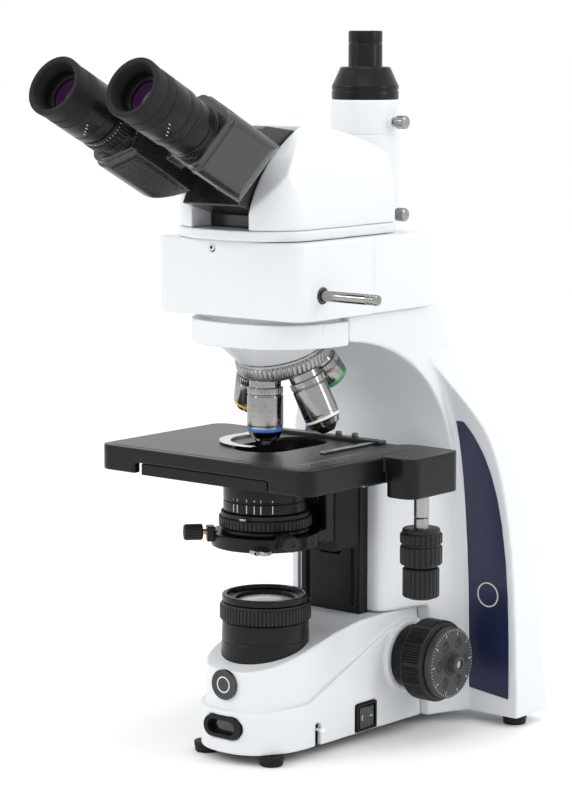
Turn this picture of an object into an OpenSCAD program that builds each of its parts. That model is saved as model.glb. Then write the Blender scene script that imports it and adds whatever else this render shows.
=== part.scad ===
// Upright trinocular light microscope. Millimetres, +Z up, the user sits at -Y.
// The origin is at bench level under the middle of the footprint; the modules are
// drawn about the optical axis and on_bench() sets that axis in place.

/* [Optics] */
// Height of the objective's mounting shoulder
shoulder_z = 252.4; // [251.5:0.1:253.5]
// Height of the stage's top face
stage_z = 205.5; // [205:0.1:205.7]
// Radius from the nosepiece's spin axis to an objective
turret_r = 21.5; // [21.3:0.1:22]
// Tilt of the nosepiece's spin axis from vertical, degrees
turret_tilt = 20; // [19:0.5:21]
// Objectives on the nosepiece
objectives = 5; // [5:1:5]
// Radius of an objective's barrel
objective_r = 12; // [11.5:0.1:12]
// Radius of the black photo port that a camera slides over
port_r = 11.6; // [11:0.1:12]

/* [Viewing tubes] */
// Slope of the eyepiece tubes from horizontal, degrees
view_angle = 27; // [26:0.5:28]
// Distance between the eyepieces at rest
pupil_distance = 65; // [63:0.5:67]
// Drop of the tubes below the pivot, across the slope
tube_drop = 15; // [14.5:0.5:15.5]
// Radius of the eyepieces
eyepiece_r = 19.9; // [19:0.1:20.2]
// Bore of an eyepiece tube
sleeve_r = 15; // [14.5:0.1:15.2]

/* [Stand] */
// Height of the rubber feet
foot_h = 7; // [6:0.5:8]
// Half the width of the base's nose
base_half = 39; // [38:0.5:40]
// Half the width across the rear wings
wing_half = 101.6; // [100:0.2:102]
// Height of the arm's flat top
arm_top = 296; // [296:0.5:296.4]
// Wall of the castings
wall = 4; // [3:0.5:5]

/* [Boxes and head] */
// Half the width of the intermediate box
box_half = 62; // [61:0.5:62]
// Height of the intermediate box
box_h = 49.9; // [49:0.1:49.9]
// Half the width of the head's base
head_half = 52; // [51:0.5:52.5]

/* [Focus drive] */
// Distance of the focus shaft behind the optical axis
shaft_y = 102; // [102:1:102]
// Height of the focus shaft
shaft_z = 52.5; // [52:0.5:53]
// Pitch radius of the focus pinion
pinion_r = 6; // [6:1:6]
// Teeth on the focus pinion
pinion_teeth = 12; // [12:1:12]
// Radius of the coarse knobs
coarse_r = 28; // [26:0.5:28]

/* [Hidden] */
$fn = 64;
axis_y = -8;                      // optical axis, ahead of the footprint's middle
fit = 0.05;                       // radial clearance of a running fit
gap = 0.3;                        // air between bodies that pass each other
rail_front = 69;                  // front face of the focus rail
rail_back = 77.5;
stage_lower = 196;                // underside of the moving stage plate's top
hub_gap = 131;                    // eyepiece rim to pivot face, along the slope
rim_y = -162.5;
rim_z = 447;
tube_x = pupil_distance / 2;
box_top = arm_top + box_h;
head_z = box_top + 0.5;           // underside of the head
head_deck = head_z + 6.6;
photo_y = 106;                    // photo tube behind the optical axis
drive_x = 93.5;                   // stage drive shaft
drive_y = 48;
condenser_z = 141;                // underside of the condenser carrier
stage_rear = 66.5;
upper_screw_z = 417.9;            // thumbscrews of the photo tube
lower_screw_z = 355.6;
rod_y = -16.5;                    // pull rod of the filter slide
rod_z = 312;
screw_angles = [-132, -31];       // condenser centring screws, round the axis
hub_y = rim_y + hub_gap * cos(view_angle) + tube_drop * sin(view_angle);
hub_z = rim_z - hub_gap * sin(view_angle) + tube_drop * cos(view_angle);
swing_angle = atan2(tube_drop, tube_x);      // how far the housings hang below level
swing_r = norm([tube_drop, tube_x]);

// ---- outlines and frames ----

module on_bench() translate([0, axis_y, 0]) children();

// a side outline (Y, Z) taken across X from x0 to x1
module across(x0, x1) translate([x0, 0, 0]) rotate([90, 0, 90]) linear_extrude(x1 - x0) children();

// a front outline (X, Z) taken back along Y from y0 to y1
module along(y0, y1) translate([0, y1, 0]) rotate([90, 0, 0]) linear_extrude(y1 - y0) children();

module block(low, high) translate(low) cube(high - low);

module ring(r_out, r_in, h) difference() {
    cylinder(r = r_out, h = h);
    translate([0, 0, -1]) cylinder(r = r_in, h = h + 2);
}

module rod_x(r, x0, x1) translate([x0, 0, 0]) rotate([0, 90, 0]) cylinder(r = r, h = x1 - x0);

module mirror_pair() {
    children();
    mirror([1, 0, 0]) children();
}

// a rectangle with round corners
module rounded(low, high, r) {
    translate([low[0] + r, low[1]]) square([high[0] - low[0] - 2 * r, high[1] - low[1]]);
    translate([low[0], low[1] + r]) square([high[0] - low[0], high[1] - low[1] - 2 * r]);
    for (x = [low[0] + r, high[0] - r], y = [low[1] + r, high[1] - r]) translate([x, y]) circle(r = r);
}

// points on a cubic curve
function curve(a, b, c, d, steps) = [for (i = [0:steps]) let (t = i / steps, s = 1 - t)
    s * s * s * a + 3 * s * s * t * b + 3 * s * t * t * c + t * t * t * d];

function reversed(points) = [for (i = [len(points) - 1:-1:0]) points[i]];

// half an oval whose corners are fuller than an ellipse's, bulging towards -Y
function blunt_nose(half, depth, y0, power) = [for (a = [0:6:180])
    [half * sign(cos(a)) * pow(abs(cos(a)), 2 / power), y0 - depth * pow(sin(a), 2 / power)]];

// a toothed or fluted outline
function fluted(r, depth, count) = [for (i = [0:4 * count - 1])
    let (a = 90 * i / count, rr = (i % 4 < 2) ? r : r - depth) [rr * cos(a), rr * sin(a)]];

// the frame of the viewing tubes: Z runs up the slope to the eye, the origin is on the pivot
module on_slope() translate([0, hub_y, hub_z]) rotate([90 - view_angle, 0, 0]) children();

// the frame of the nosepiece: Z runs up its spin axis, the origin is level with the shoulders
module on_turret()
    translate([0, turret_r * cos(turret_tilt), shoulder_z + turret_r * sin(turret_tilt)])
    rotate([turret_tilt, 0, 0]) children();

module on_shaft() translate([0, shaft_y, shaft_z]) children();

// ---- base ----

module base_plan(half, front, rear_half, rear)
    polygon(concat(blunt_nose(half, 8 - front, 8, 2.45), [[-rear_half, rear], [rear_half, rear]]));

module base_shell(inset) {
    intersection() {
        linear_extrude(90) base_plan(base_half - inset, -45 + inset, 42 - inset, 118 - inset);
        across(-60, 60) polygon([[-60, foot_h], [118, foot_h], [118, 76 - inset], [85, 74 - inset],
            [0, 38 - inset], [-60, 35 - inset]]);
    }
    intersection() {
        linear_extrude(90) base_plan(base_half - 3.5 - inset, -41.5 + inset, 39 - inset, 118 - inset);
        across(-60, 60) polygon([[-60, foot_h], [118, foot_h], [118, 85 - inset], [56, 84 - inset],
            [30, 80 - inset], [-42, 61.5 - inset], [-60, 57 - inset]]);
    }
}

module base_housing() color("aliceblue") difference() {
    union() {
        base_shell(0);
        on_shaft() mirror_pair() rod_x(25, 34, 44);
    }
    difference() {
        translate([0, 0, -wall]) base_shell(wall);
        translate([0, 0, 50]) cylinder(r = 33, h = 60);
    }
    translate([0, 0, 3]) base_shell(wall + 2.5);
    translate([0, 0, 40]) cylinder(r = 27, h = 60);
    on_shaft() rod_x(6.5 + fit, -60, 60);
    on_shaft() rod_x(11, -36, 36);
    block([30, 47, 8], [60, 69, 27.5]);
    block([30, 6, 6], [60, 11, 22.5]);
    translate([0, 0, 24.5]) along(-60, -36) rounded([-15.5, -7.6], [15.5, 7.6], 7.5);
    translate([0, -40.6, 52.7]) rotate([90, 0, 0]) cylinder(r = 10.5, h = 10);
    block([-10, 84, 40], [10, 119, 100]);
    for (x = [-28.3, 28.3]) translate([x, -27.7, 0]) cylinder(r = 2, h = 12);
}

module bottom_plate() color("dimgray") difference() {
    translate([0, 0, foot_h]) linear_extrude(2.5)
        base_plan(base_half - wall - 0.3, -45 + wall + 0.3, 42 - wall - 0.3, 118 - wall - 0.3);
    for (x = [-28.3, 28.3]) translate([x, -27.7, 0]) cylinder(r = 2, h = 20);
    block([33.2, 47, 0], [45, 69, 20]);
    block([28.7, 6, 0], [45, 11, 20]);
}

module foot_pads() color("black") {
    for (x = [-28.3, 28.3]) translate([x, -27.7, 0]) foot(foot_h);
    for (x = [-90, 90]) translate([x, 163, 0]) foot(foot_h);
}

module foot(h) {
    cylinder(r1 = 8.5, r2 = 10, h = h);
    translate([0, 0, h]) cylinder(r = 1.9, h = 2.5);
}

module base_badge() color("dimgray") translate([0, -40.8, 52.7]) rotate([90, 0, 0]) {
    cylinder(r = 10.2, h = 2.2);
    translate([0, 0, 2.2]) ring(10.2, 8.6, 0.6);
}

module front_window() color("black") translate([0, 0, 24.5]) difference() {
    along(-46.2, -37) rounded([-15.2, -7.3], [15.2, 7.3], 7.2);
    along(-50, -41.5) rounded([-11.4, -4.6], [11.4, 4.6], 4.5);
}

module field_lens_tube() color("black") difference() {
    union() {
        translate([0, 0, 52]) cylinder(r = 26.8, h = 38);
        difference() {
            translate([0, 0, 55]) cylinder(r1 = 30.5, r2 = 28.8, h = 35);
            base_shell(-0.05);
        }
        translate([0, 0, 88]) cylinder(r = 24, h = 18);
        translate([0, 0, 103]) cylinder(r = 29, h = 4.5);
    }
    translate([0, 0, 40]) cylinder(r = 19.5, h = 90);
    translate([0, 0, 104.5]) cylinder(r = 24.5, h = 10);
}

module field_lens() color("lightyellow") translate([0, 0, 101]) {
    cylinder(r = 19.4, h = 2);
    translate([0, 0, 2]) intersection() {
        cylinder(r = 19, h = 5);
        translate([0, 0, -66]) sphere(r = 69, $fn = 200);
    }
}

module field_iris_ring() color("dimgray") translate([0, 0, 90.5]) difference() {
    linear_extrude(12) polygon(fluted(30.6, 0.9, 60));
    translate([0, 0, -1]) cylinder(r = 24 + fit, h = 20);
}

module lamp_module() color("silver") translate([0, 50, 34]) {
    for (i = [0:5]) translate([-18, 8 + 4 * i, -15]) cube([36, 2, 30]);
    translate([-20, 4, -18]) cube([40, 4, 36]);
    translate([-15, 8, -2]) cube([30, 22, 4]);
    translate([0, 4, 0]) rotate([90, 0, 0]) cylinder(r = 9, h = 5);
}

module collector_lens() color("lightblue") translate([0, 40, 34]) rotate([90, 0, 0]) {
    cylinder(r = 13, h = 6);
    ring(15, 13.01, 9);
}

module beam_mirror() color("gainsboro") translate([0, 0, 34]) {
    intersection() {
        block([-17, -22, -16], [17, 22, 22]);
        rotate([-45, 0, 0]) block([-17, -24, -2], [17, 24, 0]);
    }
    intersection() {
        block([-17, -16, -20], [17, 22, 22]);
        rotate([-45, 0, 0]) block([-15, -24, -8], [15, 24, -2]);
    }
}

module power_board() color("darkgreen") translate([-25, 122, 14]) {
    cube([50, 48, 1.6]);
    for (x = [6, 30]) translate([x, 8, 1.6]) cube([12, 16, 14]);
    translate([14, 26, 1.6]) cube([16, 8, 10]);
}

module power_inlet() color("black") translate([0, 183, 30]) difference() {
    along(-24, 1.5) rounded([-14, -10.5], [14, 10.5], 3);
    along(-16, 3) rounded([-11.7, -8], [11.7, 8], 2);
}

module switch_frame() color("black") difference() {
    block([33.5, 47.3, 8.3], [41.6, 68.7, 27.2]);
    block([35, 49, 10], [42, 67, 25.5]);
}

module power_rocker() color("dimgray") translate([37.2, 58, 10.35]) linear_extrude(14.8)
    polygon([[-1, -8], [4.4, -8], [4.8, 0], [3.8, 8], [-1, 8]]);

module brightness_lever() color("white") translate([0, 8.5, 18.2]) {
    rod_x(1, 31, 42);
    translate([42, 0, 0]) sphere(r = 2.2);
    block([29, -2, -2], [31, 2, 2]);
}

// ---- arm with its rear wings ----

function arch_line() = curve([20, 278], [75, 274], [122, 245], [134, 186], 18);
function back_line() = curve([186.5, foot_h], [176, 110], [158, 210], [116, arm_top], 18);
function wing_front() = curve([149, foot_h], [149, 150], [142, 226], [106, 256], 18);
function wing_edge() = concat(
    curve([wing_half, foot_h], [101, 80], [98, 160], [88, 197], 12),
    curve([88, 197], [82, 222], [60, 236], [57.5, 262], 10));

module arm_side()
    polygon(concat(arch_line(), [[78, 182], [78, 85.1], [118.1, 85.1], [118.1, foot_h]],
        back_line(), [[20, arm_top]]));

module wing_side() polygon(concat(reversed(wing_front()), back_line(), [[106, 262]]));

module front_silhouette() polygon(concat(wing_edge(), [for (p = reversed(wing_edge())) [-p[0], p[1]]]));

module column_plan() polygon(concat(
    curve([31, 78], [43, 78], [42, 118], [60, 146], 10), [[60, 190], [-60, 190]],
    reversed([for (p = curve([31, 78], [43, 78], [42, 118], [60, 146], 10)) [-p[0], p[1]]])));

module arm_solid() {
    intersection() {
        across(-70, 70) arm_side();
        linear_extrude(186) column_plan();
    }
    intersection() {
        across(-70, 70) arm_side();
        translate([0, 0, 186]) linear_extrude(120)
            polygon([[55, 20], [58, 190], [-58, 190], [-55, 20]]);
    }
    intersection() {
        across(-110, 110) wing_side();
        along(90, 200) front_silhouette();
    }
}

// the space that the nosepiece and its objectives sweep
module turret_room() on_turret() {
    translate([0, 0, -3]) cylinder(r = 33.2, h = 15.5);
    translate([0, 0, -45]) cylinder(r1 = 53, r2 = 35.5, h = 46);
}

module arm_housing() color("aliceblue") difference() {
    arm_solid();
    block([-26, 84, 0], [26, 114, 178]);
    block([-10, 70, 124], [10, 90, 172]);
    block([-36, 112, 0], [36, 150, 120]);
    block([-44, 120, 9], [44, 172, 60]);
    block([-14.3, 150, 19.2], [14.3, 200, 40.8]);
    mirror_pair() block([66, 157, 0], [92, 168, 120]);
    turret_room();
    mirror_pair() panel_solid(0.3);
    on_shaft() mirror_pair() rod_x(25.1, 33, 80);
}

// the navy panels lie in a shallow recess on the wings' front faces
module panel_solid(grow) intersection() {
    difference() {
        across(50, 110) translate([-grow, 0]) wing_side();
        across(40, 120) translate([1.2, 0]) wing_side();
    }
    along(90, 200) polygon(concat([[60, 24 - grow]], [[94 + grow, 20 - grow]],
        curve([94 + grow, 60], [93 + grow, 150], [86, 190], [66, 214 + grow], 8), [[60, 214 + grow]]));
}

module side_panels() color("midnightblue") mirror_pair() panel_solid(0);

module panel_rings() color("white") mirror_pair() intersection() {
    translate([77, 170, 92]) rotate([90, 0, 0]) ring(8.8, 7.9, 40);
    difference() {
        across(50, 110) translate([-0.3, 0]) wing_side();
        across(40, 120) wing_side();
    }
}

// ---- focus drive ----

module focus_rail() color("black") difference() {
    block([-26, rail_front, 83.2], [26, rail_back, 178]);
    block([-9, 60, 124.4], [9, 90, 172]);
    mirror_pair() block([18, rail_front - 1, 90], [21, rail_front + 2.5, 179]);
    intersection() {
        base_shell(-0.05);
        block([-60, 60, 70], [60, 80, 90]);
    }
}

module coarse_shaft() color("silver") on_shaft() {
    difference() {
        union() {
            rod_x(6.5, -72.5, -9);
            rod_x(6.5, 9, 72.5);
            rod_x(4.5, -9, 9);
            translate([-5, 0, 0]) rotate([90, 0, 90]) linear_extrude(10) pinion_outline();
        }
        rod_x(3 + fit, -80, 80);
    }
}

// tooth tips are narrow so that the pinion and rack keep a little backlash
module pinion_outline() {
    circle(r = pinion_r - 1.15);
    for (i = [0:pinion_teeth - 1]) rotate((i + 0.5) * 360 / pinion_teeth + 180)
        polygon([[3, -0.85], [pinion_r, -0.5], [pinion_r + 0.8, -0.25], [pinion_r + 0.8, 0.25],
            [pinion_r, 0.5], [3, 0.85]]);
}

module coarse_knobs() color("dimgray") on_shaft() {
    mirror_pair() coarse_knob();
    difference() {
        rod_x(18, -56, -44.5);
        rod_x(6.5, -60, -40);
    }
}

module coarse_knob() translate([56, 0, 0])
    rotate([90, 0, 90]) difference() {
        union() {
            linear_extrude(16) polygon(fluted(coarse_r, 0.7, 40));
            translate([0, 0, 16]) cylinder(r = 26, h = 2);
        }
        translate([0, 0, -1]) cylinder(r = 6.5, h = 30);
        translate([0, 0, 12]) cylinder(r = 22, h = 10);
    }

module fine_shaft() color("silver") on_shaft() rod_x(3, -86, 86);

module fine_knobs() color("gray") on_shaft() mirror_pair() translate([69, 0, 0])
    rotate([90, 0, 90]) difference() {
        union() {
            cylinder(r = 21.5, h = 6);
            translate([0, 0, 5.3]) cylinder(r = 24.5, h = 5.7);
            translate([0, 0, 11]) cylinder(r = 6, h = 7);
        }
        translate([0, 0, -1]) cylinder(r = 3, h = 30);
        translate([0, 0, -1]) cylinder(r = 8, h = 5);
        for (a = [0:60:300]) rotate(a) translate([15, 0, 12.4]) sphere(r = 4);
    }

module tension_collar() color("black") on_shaft() {
    difference() {
        rod_x(22, 44.5, 55);
        rod_x(6.5 + fit, 40, 60);
        block([46, -1.6, 18], [53, 1.6, 24]);
    }
}

module focus_carriage() color("black") difference() {
    union() {
        block([-30, 37, 133], [30, 60, 187.5]);
        block([-25.5, 59, 133], [25.5, rail_front - gap, 187.5]);
        mirror_pair() block([18.3, 60, 133], [20.7, rail_front + 2.2, 176]);
        block([-8.5, 60, 150], [8.5, 86, 166]);
    }
    block([-22, 36, 160], [22, 52, 190]);
}

module focus_rack() color("silver") {
    union() {
        block([-8, 86, 150], [8, 92, 166]);
        block([-5, 88, 42], [5, shaft_y - pinion_r - 1.15, 166]);
        across(-5, 5) for (i = [-3:18])
            translate([shaft_y - pinion_r, shaft_z + i * 2 * PI * pinion_r / pinion_teeth])
            polygon([[-1.2, -0.85], [0, -0.5], [0.8, -0.2], [0.8, 0.2], [0, 0.5], [-1.2, 0.85]]);
    }
}

// ---- stage ----

module stage_base() color("black") difference() {
    union() {
        block([-60.5, -56, 188], [48.5, 60, stage_lower - gap]);
        block([-30, 36, 187.6], [30, 66, 188]);
    }
    light_slot(187, 200, 26);
    block([-60, -50, 187], [-40, 50, 190]);
}

module light_slot(z0, z1, r) translate([0, 0, z0]) linear_extrude(z1 - z0) {
    circle(r = r);
    translate([0, 32]) circle(r = r);
    translate([-r, 0]) square([2 * r, 32]);
}

module stage_plate() color("black") difference() {
    union() {
        translate([0, 0, stage_lower]) linear_extrude(stage_z - stage_lower) {
            rounded([-97.8, -57.9], [83.9, stage_rear], 10);
            rounded([60, 20], [107, 74], 9);
        }
        translate([0, 0, 188.7]) linear_extrude(8) difference() {
            rounded([-97.8, -57.9], [83.9, stage_rear], 10);
            translate([-64.6, -70]) square([115.6, 160]);
            translate([-92, -52]) square([170, 112]);
        }
        translate([0, 0, 179]) linear_extrude(18) difference() {
            rounded([82, 20], [107, 74], 9);
            translate([drive_x, drive_y]) circle(r = 5);
        }
    }
    light_slot(180, 220, 21);
    translate([drive_x, drive_y, 170]) cylinder(r = 5, h = 30);
}

module stage_guides() color("silver") {
    block([52.5, -40, 192], [55.5, 50, stage_lower]);
    block([-69.5, -40, 192], [-66.5, 50, stage_lower]);
    translate([drive_x, drive_y, 163]) ring(4.9, 3 + fit, 36.9);
}

module slide_holder() color("dimgray") {
    difference() {
        union() {
            block([-52, 57, stage_z + gap], [52, 64, stage_z + 2.4]);
            block([-52, 42, stage_z + gap], [-40, 58, stage_z + 1]);
            block([44, 3, stage_z + gap], [48, 58, stage_z + 1.3]);
        }
        translate([-46, 48, 200]) cylinder(r = 2, h = 20);
    }
    for (x = [14, 28]) translate([x, 60.5, stage_z + 2.4]) cylinder(r = 2.2, h = 3);
}

module holder_finger() color("silver") translate([-46, 48, stage_z + gap]) {
    cylinder(r = 2 - fit, h = 1.1);
    translate([0, 0, 1]) cylinder(r = 4, h = 0.8);
    translate([0, 0, 1]) linear_extrude(0.5) {
        polygon([[-3, 0], [3, 0], [7.8, -18.2], [0.5, -18.2]]);
        difference() {
            translate([33, -28]) circle(r = 34);
            translate([36, -26.5]) circle(r = 29.5);
            translate([-60, -18]) square([140, 80]);
            translate([44, -90]) square([140, 140]);
        }
    }
}

module drive_knob(r, z0, h) translate([0, 0, z0]) linear_extrude(h) difference() {
    polygon(fluted(r, 0.8, 20));
    circle(r = 3.1);
}

module stage_y_knob() color("dimgray") translate([drive_x, drive_y, 0]) {
    drive_knob(14, 131.8, 21.2);
    translate([0, 0, 153]) ring(12.5, 5 + gap, 3);
    translate([0, 0, 130.1]) ring(11, 3.2, 1.7);
}

module stage_x_knob() color("dimgray") translate([drive_x, drive_y, 0]) {
    drive_knob(12.2, 110, 19.8);
    translate([0, 0, 108.8]) cylinder(r = 9, h = 1.2);
    color("silver") translate([0, 0, 109]) cylinder(r = 3, h = 88);
}

// ---- condenser ----

module condenser_carrier() color("black") difference() {
    union() {
        translate([0, 0, condenser_z]) ring(36, 27, 9);
        mirror_pair() block([22, 18, condenser_z + 1], [29.5, 36.6, condenser_z + 9]);
        for (a = screw_angles) rotate(a) block([34, -5, condenser_z + 3], [39.5, 5, condenser_z + 13]);
        mirror_pair() block([24, 28, condenser_z], [29.5, 36.6, 174]);
    }
    for (a = screw_angles) rotate(a) translate([0, 0, condenser_z + 9]) rod_x(2 + fit, 32, 42);
}

module condenser_body() color("black") translate([0, 0, condenser_z]) difference() {
    union() {
        translate([0, 0, 1.5]) cylinder(r = 26.8, h = 8);
        translate([0, 0, 9.3]) cylinder(r = 30, h = 3);
        cylinder(r = 24, h = 24);
        translate([0, 0, 23.5]) cylinder(r = 28, h = 22.5);
        translate([0, 0, 45.5]) cylinder(r = 20, h = 8.5);
    }
    translate([0, 0, -1]) cylinder(r = 15, h = 62);
}

module iris_ring() color("dimgray") translate([0, 0, condenser_z + 12.6]) difference() {
    linear_extrude(10.6) polygon(fluted(31, 0.8, 56));
    translate([0, 0, -1]) cylinder(r = 24 + fit, h = 20);
}

module condenser_lens() color("lightblue") translate([0, 0, condenser_z]) {
    translate([0, 0, 47.5]) cylinder(r = 14.9, h = 3.6);
    translate([0, 0, 51.1]) intersection() {
        cylinder(r = 14.9, h = 4);
        translate([0, 0, -37.1]) sphere(r = 40, $fn = 160);
    }
    translate([0, 0, 4]) cylinder(r = 14.9, h = 4);
}

module centring_screw(a) rotate(a) translate([0, 0, condenser_z + 9]) {
    rod_x(2, 38, 43);
    difference() {
        translate([42, 0, 0]) rotate([90, 0, 90]) linear_extrude(13) polygon(fluted(5.4, 0.5, 16));
        rod_x(1.5, 52, 60);
    }
}

module centring_screw_left() color("dimgray") centring_screw(screw_angles[0]);
module centring_screw_right() color("dimgray") centring_screw(screw_angles[1]);

module condenser_knob() color("dimgray") translate([0, 48, 150]) {
    rod_x(3, -42, -30.4);
    translate([-54, 0, 0]) rotate([90, 0, 90]) linear_extrude(13) polygon(fluted(11, 0.7, 20));
}

// ---- nosepiece ----

module nose_housing() color("aliceblue") {
    nose_shell();
    on_turret() translate([0, 0, 9.4]) cylinder(r = 4 - fit, h = 5);
}

module nose_plan(half, depth) polygon(blunt_nose(half, depth, 19.9, 2.5));

// a shallow bowl runs from the drum down to the tilted ring
module nose_bowl() intersection() {
    on_turret() translate([0, 0, 12.6]) cylinder(r1 = 31, r2 = 50, h = 30);
    block([-60, -60, 240], [60, 19.9, 277]);
}

module nose_shell() difference() {
    union() {
        translate([0, 0, 276]) linear_extrude(16) nose_plan(55, 60);
        translate([0, 0, 290]) linear_extrude(arm_top - 290) nose_plan(49, 52);
        nose_bowl();
    }
    translate([0, 0, 250]) cylinder(r = 10, h = 60);
    mirror_pair() block([51.5, -8, 284], [60, -3.5, 300]);
}

module turret_ring() color("silver") on_turret() difference() {
    union() {
        translate([0, 0, 0]) cylinder(r = 29, h = 2.5);
        translate([0, 0, 2.4]) linear_extrude(7.8) polygon(fluted(32, 0.9, 60));
        translate([0, 0, 10.2]) cylinder(r = 30.5, h = 2);
    }
    translate([0, 0, 9]) cylinder(r = 4, h = 10);
    for (i = [0:objectives - 1]) rotate(i * 360 / objectives - 90) translate([turret_r, 0, 0])
        rotate([0, -turret_tilt, 0]) {
            translate([0, 0, -7]) cylinder(r = 10.8, h = 6.1);
            translate([0, 0, -2]) cylinder(r = 10.1, h = 9);
            translate([0, 0, -2]) cylinder(r = 9, h = 20);
        }
}

// an objective hangs from its shoulder; reach is the shoulder to its tip
module objective(reach) {
    translate([0, 0, -1]) cylinder(r = 10, h = 5);
    translate([0, 0, -6]) cylinder(r = 10.6, h = 5);
    translate([0, 0, -reach * 0.72]) cylinder(r = objective_r, h = reach * 0.72 - 6);
    translate([0, 0, -reach * 0.9]) cylinder(r1 = 9.6, r2 = objective_r - 0.4, h = reach * 0.18);
    translate([0, 0, -reach]) cylinder(r1 = 4.2, r2 = 7.5, h = reach * 0.1);
}

module placed_objective(i, reach) on_turret() rotate(i * 360 / objectives - 90)
    translate([turret_r, 0, 0]) rotate([0, -turret_tilt, 0]) objective(reach);

module objective_front() color("gainsboro") placed_objective(0, shoulder_z - 208);
module objectives_rear() color("gainsboro") {
    placed_objective(1, 44);
    placed_objective(2, 26);
    placed_objective(4, 35);
}

// ---- box, head and photo tube ----

module module_box() color("aliceblue") difference() {
    union() {
        translate([0, 0, arm_top]) linear_extrude(box_h) {
            rounded([-box_half, -39.3], [box_half, 36], 8.7);
            translate([-box_half, 10]) square([2 * box_half, 26]);
        }
        translate([0, 0, arm_top]) linear_extrude(box_h) {
            translate([-60.2, 35]) square([120.4, 5]);
            rounded([-61.4, 39], [61.4, 103.5], 6);
            translate([-61.4, 39]) square([122.8, 30]);
        }
    }
    translate([0, 0, arm_top - 1]) cylinder(r = 13, h = 20);
    translate([0, 0, box_top - 8]) cylinder(r = 24.3, h = 20);
    block([-56, -33, 301], [56, 30, 336]);
    block([-54, 44, 301], [54, 98, 340]);
    on_rod() rod_x(3.5 + fit, 50, 70);
    translate([-12, -40, box_top - 6]) rotate([-90, 0, 0]) cylinder(r = 2.6, h = 9);
}

module on_rod() translate([0, rod_y, rod_z]) children();

module filter_slide() color("black") difference() {
    block([-28, -21, 305], [28, 20, 316]);
    translate([0, 0, 300]) cylinder(r = 14, h = 20);
}

module pull_rod() color("silver") on_rod() {
    rod_x(3.5, 28, 99.7);
    rod_x(2.8, 99.7, 101.7);
    rod_x(3.5, 101.7, 103.2);
    rod_x(2.8, 103.2, 104.7);
    rod_x(3.5, 104.7, 107);
}

module head_plan(inset) polygon(concat(
    blunt_nose(head_half - inset, 40 - inset, -8, 2.6), [[-50 + inset, 76 - inset], [50 - inset, 76 - inset]]));

module head_base() color("aliceblue") difference() {
    union() {
        translate([0, 0, head_z]) linear_extrude(6.6) {
            head_plan(0);
            translate([-21, 60]) square([42, photo_y - 60]);
            translate([0, photo_y]) circle(r = 21);
        }
        translate([0, 0, box_top - 6]) cylinder(r = 24, h = 7);
    }
    translate([0, 0, box_top - 10]) cylinder(r = 12, h = 30);
}

module head_side() polygon(concat(
    curve([-47, head_deck], [-47, 378], [-22, 405], [5, 417.5], 14),
    curve([5, 417.5], [25, 421], [50, 412], [81, 397], 10), [[76, head_deck]]));

module head_front() polygon(concat(
    curve([51, head_deck], [50, 385], [42, 416], [22, 420], 14),
    [for (p = reversed(curve([51, head_deck], [50, 385], [42, 416], [22, 420], 14))) [-p[0], p[1]]]));

module head_housing() color("aliceblue") difference() {
    union() {
        intersection() {
            across(-60, 60) head_side();
            along(-60, 90) head_front();
            translate([0, 0, 340]) linear_extrude(90) head_plan(0.5);
        }
        block([-20, 70, head_deck], [20, photo_y - 14, 385]);
    }
    block([-24, -70, 340], [24, 15, 430]);
    block([-38, 14, head_deck - 1], [38, 66, 392]);
    translate([0, photo_y, 340]) cylinder(r = 23.8, h = 100);
}

module hinge_block() color("black") {
    difference() {
        across(-23.5, 23.5) polygon([[-27, head_deck], [-27, 362], [-55, 369.5], [-30.6, 417.4],
            [-26, 419.2], [2, 415.5], [13, 414], [13, head_deck]]);
        on_slope() block([-40, -90, 0.3], [40, 40, 30]);
    }
    on_slope() translate([0, 0, -6]) cylinder(r = 5, h = 46);
}

// drawn for the right side; hub is the height of its pivot ring up the slope
module tube_housing(hub) rotate(-swing_angle) difference() {
    union() {
        intersection() {
            union() {
                linear_extrude(63) housing_section(0);
                linear_extrude(68) housing_section(1.2);
            }
            rotate([90, 0, 0]) translate([0, 0, -30]) linear_extrude(60) polygon(concat(
                curve([17, 4.5], [36, 4.5], [57, 9], [57, 34], 14), [[57, 70], [17, 70]]));
        }
        translate([swing_r, 0, 60]) cylinder(r = 17.6, h = 14);
        translate([0, 0, hub]) cylinder(r = 16, h = 16.5);
        block([0, -13, hub], [22, 13, hub + 16.5]);
    }
    translate([0, 0, -1]) cylinder(r = 5 + fit, h = 60);
    translate([swing_r, 0, 36]) cylinder(r = sleeve_r + fit, h = 60);
    translate([swing_r, 0, 14]) cylinder(r = 12, h = 60);
    translate([0, 0, hub + 8]) rod_x(3.5, 8, 30);
}

// across the tube: a flat underside with its inner edge cut back, the other corners rounded
module housing_section(inset) difference() {
    rounded([17.5 + inset, -20 + inset], [56 - inset, 24 - inset], 8);
    polygon([[10, -9], [17.5 + inset, -9], [25, -20 + inset], [25, -30], [10, -30]]);
}

module tube_housing_right() color("black") on_slope() tube_housing(3.5);

module tube_housing_left() color("black") on_slope() mirror([1, 0, 0]) tube_housing(20.6);

module dioptre_ring() color("black") on_slope() translate([-tube_x, -tube_drop, 74.3]) difference() {
    linear_extrude(12.4) polygon(fluted(19.4, 0.6, 40));
    translate([0, 0, -1]) cylinder(r = sleeve_r + fit, h = 30);
}

module eyepiece(skirt) difference() {
    union() {
        translate([0, 0, 40]) cylinder(r = sleeve_r, h = 46);
        translate([0, 0, skirt]) cylinder(r = 18.4, h = 88 - skirt);
        translate([0, 0, 88]) cylinder(r = 19.3, h = 31);
        translate([0, 0, 119]) cylinder(r1 = 19.3, r2 = eyepiece_r, h = 12);
    }
    translate([0, 0, 39]) cylinder(r = 12.5, h = 70);
    translate([0, 0, 123]) cylinder(r1 = 13, r2 = 16.5, h = 8.1);
    translate([0, 0, 108]) cylinder(r = 12.8, h = 5);
    translate([0, 0, 118.1]) cylinder(r = 12.8, h = 6);
}

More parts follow.
